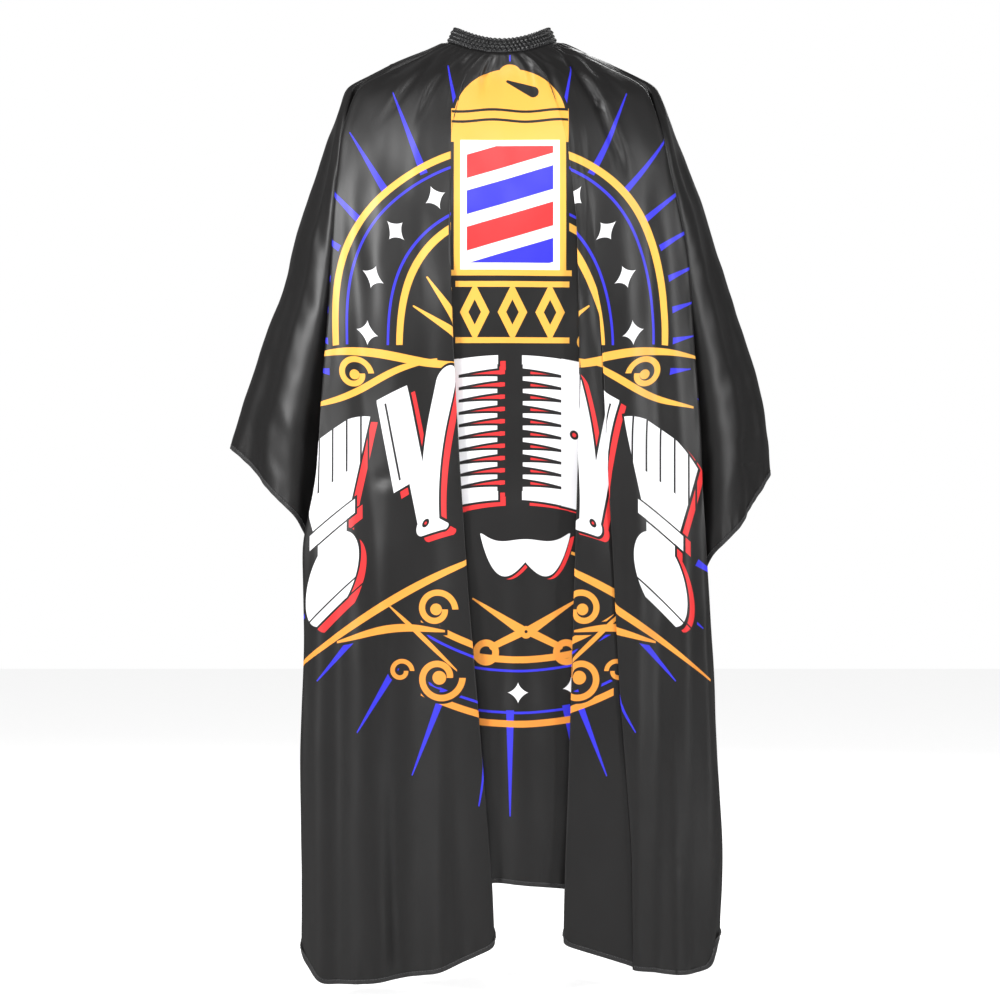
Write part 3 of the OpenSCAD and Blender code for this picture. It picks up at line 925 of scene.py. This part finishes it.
def satin():
    """Printed black satin, a little uneven in its gloss."""
    material, tree, shader = new_material("printed_satin")
    tree.links.new(print_colour(tree), shader.inputs["Base Color"])
    rough = cloud(tree, 9.0, 4.0) * 0.12 + 0.35
    tree.links.new(rough.socket, shader.inputs["Roughness"])
    shader.inputs["Specular IOR Level"].default_value = 0.36
    weave_bump(tree, shader, 3200.0, 0.16)
    return material


# Plain cloths: colour, roughness, scale and strength of the threads, and sheen
CLOTHS = {
    "neckband_cloth": (linear(21, 21, 22), 0.36, 1700.0, 0.22, 0.0),
    "binding_tape": (linear(19, 18, 19), 0.55, 2200.0, 0.8, 0.15),
    "label_ribbon": (linear(222, 221, 214), 0.6, 2600.0, 0.5, 0.1),
    "sewing_thread": (linear(40, 40, 42), 0.5, 4000.0, 0.4, 0.3),
    "satin_wrong_side": (linear(30, 29, 30), 0.6, 1400.0, 0.3, 0.2),
    "elastic_webbing": (linear(226, 224, 216), 0.7, 1800.0, 0.9, 0.2),
    "interlining": (linear(52, 52, 54), 0.85, 1200.0, 0.6, 0.2),
    "lining_cloth": (linear(27, 27, 28), 0.62, 1500.0, 0.7, 0.2),
    "pale_floor": (linear(250, 250, 250), 0.9, 6.0, 0.02, 0.0),
}


def fabric(name):
    """One of the plain cloths, whose colour varies softly."""
    colour, roughness, scale, strength, sheen = CLOTHS[name]
    material, tree, shader = new_material(name)
    ramp = tree.nodes.new("ShaderNodeValToRGB")
    ramp.color_ramp.elements[0].color = tuple(0.6 * c for c in colour[:3]) + (1.0,)
    ramp.color_ramp.elements[1].color = tuple(min(1.0, 1.3 * c) for c in colour[:3]) + (1.0,)
    tree.links.new(cloud(tree, 160.0).socket, ramp.inputs["Fac"])
    tree.links.new(ramp.outputs["Color"], shader.inputs["Base Color"])
    shader.inputs["Roughness"].default_value = roughness
    shader.inputs["Sheen Weight"].default_value = sheen
    weave_bump(tree, shader, scale, strength)
    return material


def metal(name, colour, roughness):
    """Plated metal with fine scuffs in its gloss."""
    material, tree, shader = new_material(name)
    rough = cloud(tree, 700.0, 5.0) * 0.25 + (roughness - 0.1)
    tree.links.new(rough.socket, shader.inputs["Roughness"])
    shader.inputs["Base Color"].default_value = colour
    shader.inputs["Metallic"].default_value = 1.0
    return material


def wear(piece, material):
    piece.data.materials.clear()
    piece.data.materials.append(material)


def settle(piece, material, body="cape"):
    """Gives a piece its material and slot, and lets it ride on a body unless that is None."""
    wear(piece, material)
    if body:
        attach(piece, body)
    return piece


def thicken(piece, thickness, inside):
    """Gives a sheet its thickness on the inner side, with its own material there."""
    piece.data.materials.append(inside)
    solid = piece.modifiers.new("thickness", "SOLIDIFY")
    solid.thickness, solid.offset = thickness, -1.0
    solid.material_offset = solid.material_offset_rim = 1
    apply_modifiers(piece)


def apply_modifiers(piece):
    graph = bpy.context.evaluated_depsgraph_get()
    final = bpy.data.meshes.new_from_object(piece.evaluated_get(graph))
    piece.modifiers.clear()
    piece.data = final
    piece.data.shade_smooth()


def face_out(piece):
    """Turns all faces of a closed piece outwards."""
    shape = bmesh.new()
    shape.from_mesh(piece.data)
    bmesh.ops.recalc_face_normals(shape, faces=shape.faces)
    shape.to_mesh(piece.data)
    shape.free()


# ---------- bindings ----------

def tape(name, edge, into, out, material, thread):
    """Binding tape folded over an edge, and the row of stitches that holds it."""
    spacing = 0.003
    path = resample(np.concatenate([edge, into, out], axis=1), spacing)
    at = blur(path[:, :3], 1.0, 0)
    along = unit(np.gradient(at, axis=0))
    into = path[:, 3:6] - (path[:, 3:6] * along).sum(1, keepdims=True) * along
    into = unit(blur(unit(into), 1.5, 0))
    up = np.cross(along, into)
    up *= np.sign((up * path[:, 6:]).sum(1, keepdims=True))
    run = np.arange(len(at)) * spacing
    pucker = 0.0003 * np.sin(run / 0.0031 + 2.0 * np.sin(run / 0.017))[:, None]
    middle = at + into * (0.5 * TAPE_W - 0.0008) + up * pucker
    band = swept(name, middle, into, up, 0.5 * TAPE_W, 0.5 * TAPE_T)
    face_out(band)
    seam = at + into * 0.74 * TAPE_W + up * (pucker + 0.5 * TAPE_T)
    rows = stitches(name + "_stitches", seam, up, *TAPE_STITCH)
    settle(band, material)
    settle(rows, thread)
    return [band, rows]


def bindings(sheet, material, thread):
    """Tape along the hem and, from a little below the neck, along both edges of the slit."""
    points, out = sheet[..., :3], outward(sheet[..., :3])
    made = []
    for name, node, edge, inner, away in (
            ("hem_tape", "hem_binding", points[:, -1], points[:, -3], out[:, -1]),
            ("slit_tape_right", "slit_binding_right", points[0, 3:], points[3, 3:], out[0, 3:]),
            ("slit_tape_left", "slit_binding_left", points[-1, 3:], points[-4, 3:], out[-1, 3:])):
        pair = tape(name, edge, inner - edge, away, material, thread)
        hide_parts(node)
        made += pair
    return made


# ---------- neckband ----------

BAND_ANGLES = np.linspace(SLIT_HALF - 180, 180 - SLIT_HALF, 1100)
PUFF_ROWS = 3
SHIRR_LOW, SHIRR_HIGH = 0.1, 0.9     # rows of elastic thread below and above the puffs, as shares
GATHER_WIDTH = (3.6, 6.0)            # narrowest and widest gather
WALL_ROWS, ROLL_ROWS = 40, 7
CASING_INSET = 0.0005
FRILL = 0.0005
ROLL_RISE = 0.0011


def ring_point(angle, r, z):
    """Points at an angle from the front towards +X."""
    a = np.radians(angle)
    return np.stack([r * np.sin(a), -r * np.cos(a), z], axis=-1)


def pleat_phase(low, high):
    """Phase of irregular gathers along the band, whose widths lie between low and high degrees."""
    centres = np.cumsum(rng.uniform(low, high, int(400 / low))) - 190
    return 2 * math.pi * np.interp(BAND_ANGLES, centres, np.arange(len(centres)))[:, None]


def casing(material, thread):
    """Outer casing: three rows of small puffs between rows of elastic thread, and a ruffled top."""
    t = np.concatenate([np.linspace(0, 1, WALL_ROWS), np.ones(ROLL_ROWS)])[None]
    roll = np.concatenate([np.zeros(WALL_ROWS), np.linspace(0, 1, ROLL_ROWS + 1)[1:]])[None] * math.pi
    row = np.clip((t - SHIRR_LOW) / (SHIRR_HIGH - SHIRR_LOW), 0, 0.9999) * PUFF_ROWS
    bulge = np.abs(np.sin(math.pi * row)) ** 0.9
    phase = pleat_phase(*GATHER_WIDTH)
    shifted = phase + math.pi * 0.9 * np.floor(row) + 0.5 * np.sin(phase / 7)
    calm = (1 - 0.72 * smooth(118, 128, np.abs(BAND_ANGLES)))[:, None]
    puff = calm * (0.0013 * bulge * (0.7 + 0.9 * np.cos(shifted)) + 0.0002 * np.cos(phase))
    frill = FRILL * (calm * smooth(SHIRR_HIGH, 1, t) * np.cos(phase + 0.6))
    flare = flare_at(BAND_ANGLES)[:, None] * (1 - t)
    wall = CASING_R - CASING_INSET + flare + puff * (roll == 0) + frill
    half = 0.5 * (wall - NECK_R - 0.0012)
    r = wall - half * (1 - np.cos(roll))
    z = band_z(BAND_ANGLES)[:, None] + BAND_H * (t - 0.5) + ROLL_RISE * np.sin(roll) + frill
    piece = grid_mesh("gathered_casing", ring_point(BAND_ANGLES[:, None], r, z)[:, ::-1])
    thicken(piece, PLY_T, material)
    seams = []
    for share in (0.05, SHIRR_LOW, SHIRR_HIGH):
        k = int(round(share * (WALL_ROWS - 1)))
        path = ring_point(BAND_ANGLES, r[:, k] + 0.0002, z[:, k])
        out = ring_point(BAND_ANGLES, 1 + 0 * BAND_ANGLES, 0 * BAND_ANGLES)
        seams.append(stitches(f"casing_stitches_{len(seams) + 1}", path, out, *CASING_STITCH))
    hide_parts("neckband_outer")
    for made in [piece, *seams]:
        settle(made, material if made is piece else thread)
    return [piece, *seams]


def facing(material):
    """Facing against the neck, drawn into soft gathers by the elastic behind it."""
    t = np.linspace(0, 1, 14)[None]
    phase = pleat_phase(*GATHER_WIDTH)
    r = NECK_R + 0.0004 - 0.00035 * np.cos(phase) * np.sin(math.pi * t) ** 0.5
    z = band_z(BAND_ANGLES)[:, None] + (BAND_H - 0.0004) * (t - 0.5)
    piece = grid_mesh("gathered_facing", ring_point(BAND_ANGLES[:, None], r, z))
    thicken(piece, PLY_T, material)
    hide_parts("neckband_inner")
    return settle(piece, material)


# ---------- closure behind the neck ----------

# Angles here are from the middle of the back towards +X, and radii from the neck's axis.
# TAB_TIP_AT is the length along the tab, from there, to where its round end begins.
HINGE = next(j for j in frame["joints"] if j["name"] == "tab_hinge")["pos_m"]
HINGE_ANGLE = math.degrees(math.atan2(HINGE[0], HINGE[1]))
STRAP_MID, STRAP_HALF_T = NECK_R + 0.00547, 0.00082
STRAP_FROM, STRAP_TO, STRAP_HALF_H = -51.7, 12.1, 0.0086
TAB_MID, TAB_HALF_T, TAB_HALF_H = NECK_R + 0.01126, 0.00083, 0.0081
TAB_TIP_AT, ANCHOR_TO, ANCHOR_R = -0.005, 42.0, NECK_R + 0.0046


def behind(angle, r, z):
    """Points at an angle from the middle of the back towards +X."""
    a = np.radians(angle)
    return np.stack([r * np.sin(a), r * np.cos(a), z + 0 * angle], axis=-1)


def radial(angle):
    """Directions away from the neck at such angles."""
    return behind(angle, 1.0, 0 * angle)


def edge_seams(name, angle, r, z, inset, thread, body="cape"):
    """A row of stitches along the low and the high edge of a strap."""
    for side, edge in ((-1, "low"), (1, "high")):
        rows = stitches(f"{name}_{edge}", behind(angle, r, z + side * inset), radial(angle), *STRAP_STITCH)
        settle(rows, thread, body=body)


def stud_strap(material, thread):
    """Cloth of the strap, turned in over its edges, with a seam along each."""
    angle = np.linspace(STRAP_FROM, STRAP_TO, 120)
    z = band_z(180 - angle)
    centre = behind(angle, STRAP_MID, z)
    wave = 0.00008 * np.sin(angle * 3.1)
    strap = swept("strap_cloth", centre, np.tile([0.0, 0, 1], (len(angle), 1)), radial(angle),
                  STRAP_HALF_H + wave, STRAP_HALF_T, count=26)
    face_out(strap)
    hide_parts("stud_strap_outer")
    settle(strap, material)
    part = slice(3, -3)
    edge_seams("strap_stitches", angle[part], STRAP_MID + STRAP_HALF_T, z[part], STRAP_HALF_H - 0.0015,
               thread)


def tab_strip(material, thread):
    """One strip of cloth from the band out to the tip of the tab, with a fixed turn in its shape at the
    tab's hinge.
    """
    tip = math.degrees((TAB_TIP_AT - TAB_HALF_H) / TAB_MID)
    angle = np.concatenate([np.linspace(tip, HINGE_ANGLE - 2, 70),
                            np.linspace(HINGE_ANGLE - 2, HINGE_ANGLE + 2, 20)[1:],
                            np.linspace(HINGE_ANGLE + 2, ANCHOR_TO, 50)[1:]])
    out = np.clip((angle - HINGE_ANGLE - 1.2) / (ANCHOR_TO - HINGE_ANGLE - 1.2), 0, 1)
    r = TAB_MID + (ANCHOR_R - TAB_MID) * out * (2 - out)
    level = smooth(HINGE_ANGLE, HINGE_ANGLE + 10, angle)
    z = (1 - level) * band_z(180) + level * band_z(180 - angle)
    past_tip = np.clip(TAB_TIP_AT - np.radians(angle) * TAB_MID, 0, TAB_HALF_H)
    half_h = np.sqrt(np.maximum(TAB_HALF_H ** 2 - past_tip ** 2, 1e-8))
    strip = swept("tab_cloth", behind(angle, r, z), np.tile([0.0, 0, 1], (len(angle), 1)),
                  radial(angle), half_h, TAB_HALF_T, count=26)
    face_out(strip)
    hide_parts("tab_outer", "tab_anchor")
    settle(strip, material, body=None)
    start, end = (tuple(behind(np.array(HINGE_ANGLE + turn), TAB_MID, HINGE[2])) for turn in (1.1, -1.1))
    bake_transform(strip)
    inset = np.maximum(half_h - 0.0014, 0.0001)
    for name, body, keep in (("tab_stitches", "closure_tab", angle < HINGE_ANGLE - 1.6),
                             ("anchor_stitches", "cape", angle > HINGE_ANGLE + 1.6)):
        part = np.flatnonzero(keep)[2:-1]
        edge_seams(name, angle[part], r[part] + TAB_HALF_T, z[part], inset[part], thread, body)


def care_label(material, thread):
    """Blank ribbon label that hangs from its sewn upper edge."""
    low, high = (np.array(corner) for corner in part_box("care_label"))
    x = np.linspace(low[0], high[0], 20)[:, None]
    z = np.linspace(high[2], low[2], 34)[None]
    drop = (high[2] - z) / (high[2] - low[2])
    y = low[1] + 0.0002 - 0.0016 * drop ** 2 + 0.0006 * np.sin((x - low[0]) * 210) * drop
    label = grid_mesh("ribbon_label", np.stack([x + 0 * z, y, z + 0 * x], axis=-1))
    thicken(label, PLY_T, material)
    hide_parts("care_label")
    top = np.stack([x[:, 0], np.full(20, low[1]), np.full(20, high[2] - 0.0015)], axis=1)
    rows = stitches("label_stitches", top, np.tile([0.0, -1, 0], (20, 1)), *LABEL_STITCH)
    return [settle(label, material), settle(rows, thread)]


# ---------- the object ----------

def hardware():
    """Better materials for the CAD nodes that stay."""
    chrome = metal("snap_chrome", linear(205, 206, 210), 0.22)
    brass = metal("spring_brass", linear(205, 170, 96), 0.3)
    white, stiff, lining = fabric("elastic_webbing"), fabric("interlining"), fabric("lining_cloth")
    finish = {"snap_cap": chrome, "snap_socket": chrome, "snap_studs": chrome, "snap_eyelets": chrome,
              "snap_spring": brass, "neck_elastic": white, "stud_strap_interlining": stiff,
              "tab_interlining": stiff, "stud_strap_lining": lining, "tab_lining": lining}
    for name, material in finish.items():
        wear(frame["nodes"][name], material)


def cape():
    sheet = drape()
    thread, band, edge = fabric("sewing_thread"), fabric("neckband_cloth"), fabric("binding_tape")
    cloth = grid_mesh("printed_cloth", sheet[..., :3], uv=sheet[..., [3, 2]])
    wear(cloth, satin())
    thicken(cloth, CLOTH_T, fabric("satin_wrong_side"))
    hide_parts("cape_cloth")
    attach(cloth, "cape")
    trim = bindings(sheet, edge, thread) + casing(band, thread) + [facing(band)]
    trim += care_label(fabric("label_ribbon"), thread)
    stud_strap(band, thread)
    tab_strip(band, thread)
    hardware()


cape()

# ---------- light, floor and camera ----------

LAMPS = [  # name, place, aim, (width, height), watts
    ("key", (-2.4, -2.1, 0.8), (0, 0, -0.5), (0.7, 1.6), 120),
    ("fill", (2.3, -1.7, 0.3), (0, 0, -0.6), (0.3, 1.8), 45),
    ("front", (0.1, -3.4, 1.4), (0, 0, -0.5), (0.8, 0.5), 45),
    ("back", (0.6, 2.6, 1.2), (0, 0, -0.5), (1.6, 1.2), 32),
]


def area_light(name, place, aim, size, power):
    lamp = bpy.data.lights.new(name, "AREA")
    lamp.shape, lamp.size, lamp.size_y, lamp.energy = "RECTANGLE", size[0], size[1], power
    holder = bpy.data.objects.new(name, lamp)
    holder.location = place
    holder.rotation_euler = (Vector(aim) - Vector(place)).to_track_quat("-Z", "Y").to_euler()
    bpy.context.collection.objects.link(holder)


def sky():
    """White backdrop for the camera, and a weaker sky for everything that it lights."""
    world = bpy.data.worlds.new("studio")
    bpy.context.scene.world = world
    world.use_nodes = True
    nodes, links = world.node_tree.nodes, world.node_tree.links
    nodes["Background"].inputs["Color"].default_value = (1, 1, 1, 1)
    seen = nodes.new("ShaderNodeLightPath").outputs["Is Camera Ray"]
    strength = nodes.new("ShaderNodeMapRange")
    strength.inputs["To Min"].default_value = SKY_LIGHT
    strength.inputs["To Max"].default_value = 1.0
    links.new(seen, strength.inputs["Value"])
    links.new(strength.outputs["Result"], nodes["Background"].inputs["Strength"])


def studio():
    """Pale floor and soft light: four lamps and a weak sky."""
    bpy.context.scene.view_settings.view_transform = "Standard"
    sky()
    for lamp in LAMPS:
        area_light(*lamp)
    ends = (-FLOOR_REACH, FLOOR_REACH)
    points = np.array([[[x, y, FLOOR_Z] for y in ends] for x in ends[::-1]])
    floor = grid_mesh("studio_floor", points)
    pale = fabric("pale_floor")
    shader = pale.node_tree.nodes["Principled BSDF"]
    shader.inputs["Emission Color"].default_value = (1, 1, 1, 1)
    seen = Ink(pale.node_tree, pale.node_tree.nodes.new("ShaderNodeLightPath").outputs["Is Camera Ray"])
    pale.node_tree.links.new((seen * FLOOR_GLOW).socket, shader.inputs["Emission Strength"])
    wear(floor, pale)


def camera():
    """A long lens level with the middle of the cape, as the photo's seems to be."""
    data = bpy.data.cameras.new("camera")
    data.lens, data.sensor_width = 120, 36
    cam = bpy.data.objects.new("camera", data)
    distance = VIEW_WIDTH * data.lens / data.sensor_width
    cam.location = (-0.0025, VIEW_DEPTH - distance, -0.583)
    cam.rotation_euler = (math.radians(90), 0, 0)
    bpy.context.scene.collection.objects.link(cam)
    bpy.context.scene.camera = cam


studio()
camera()
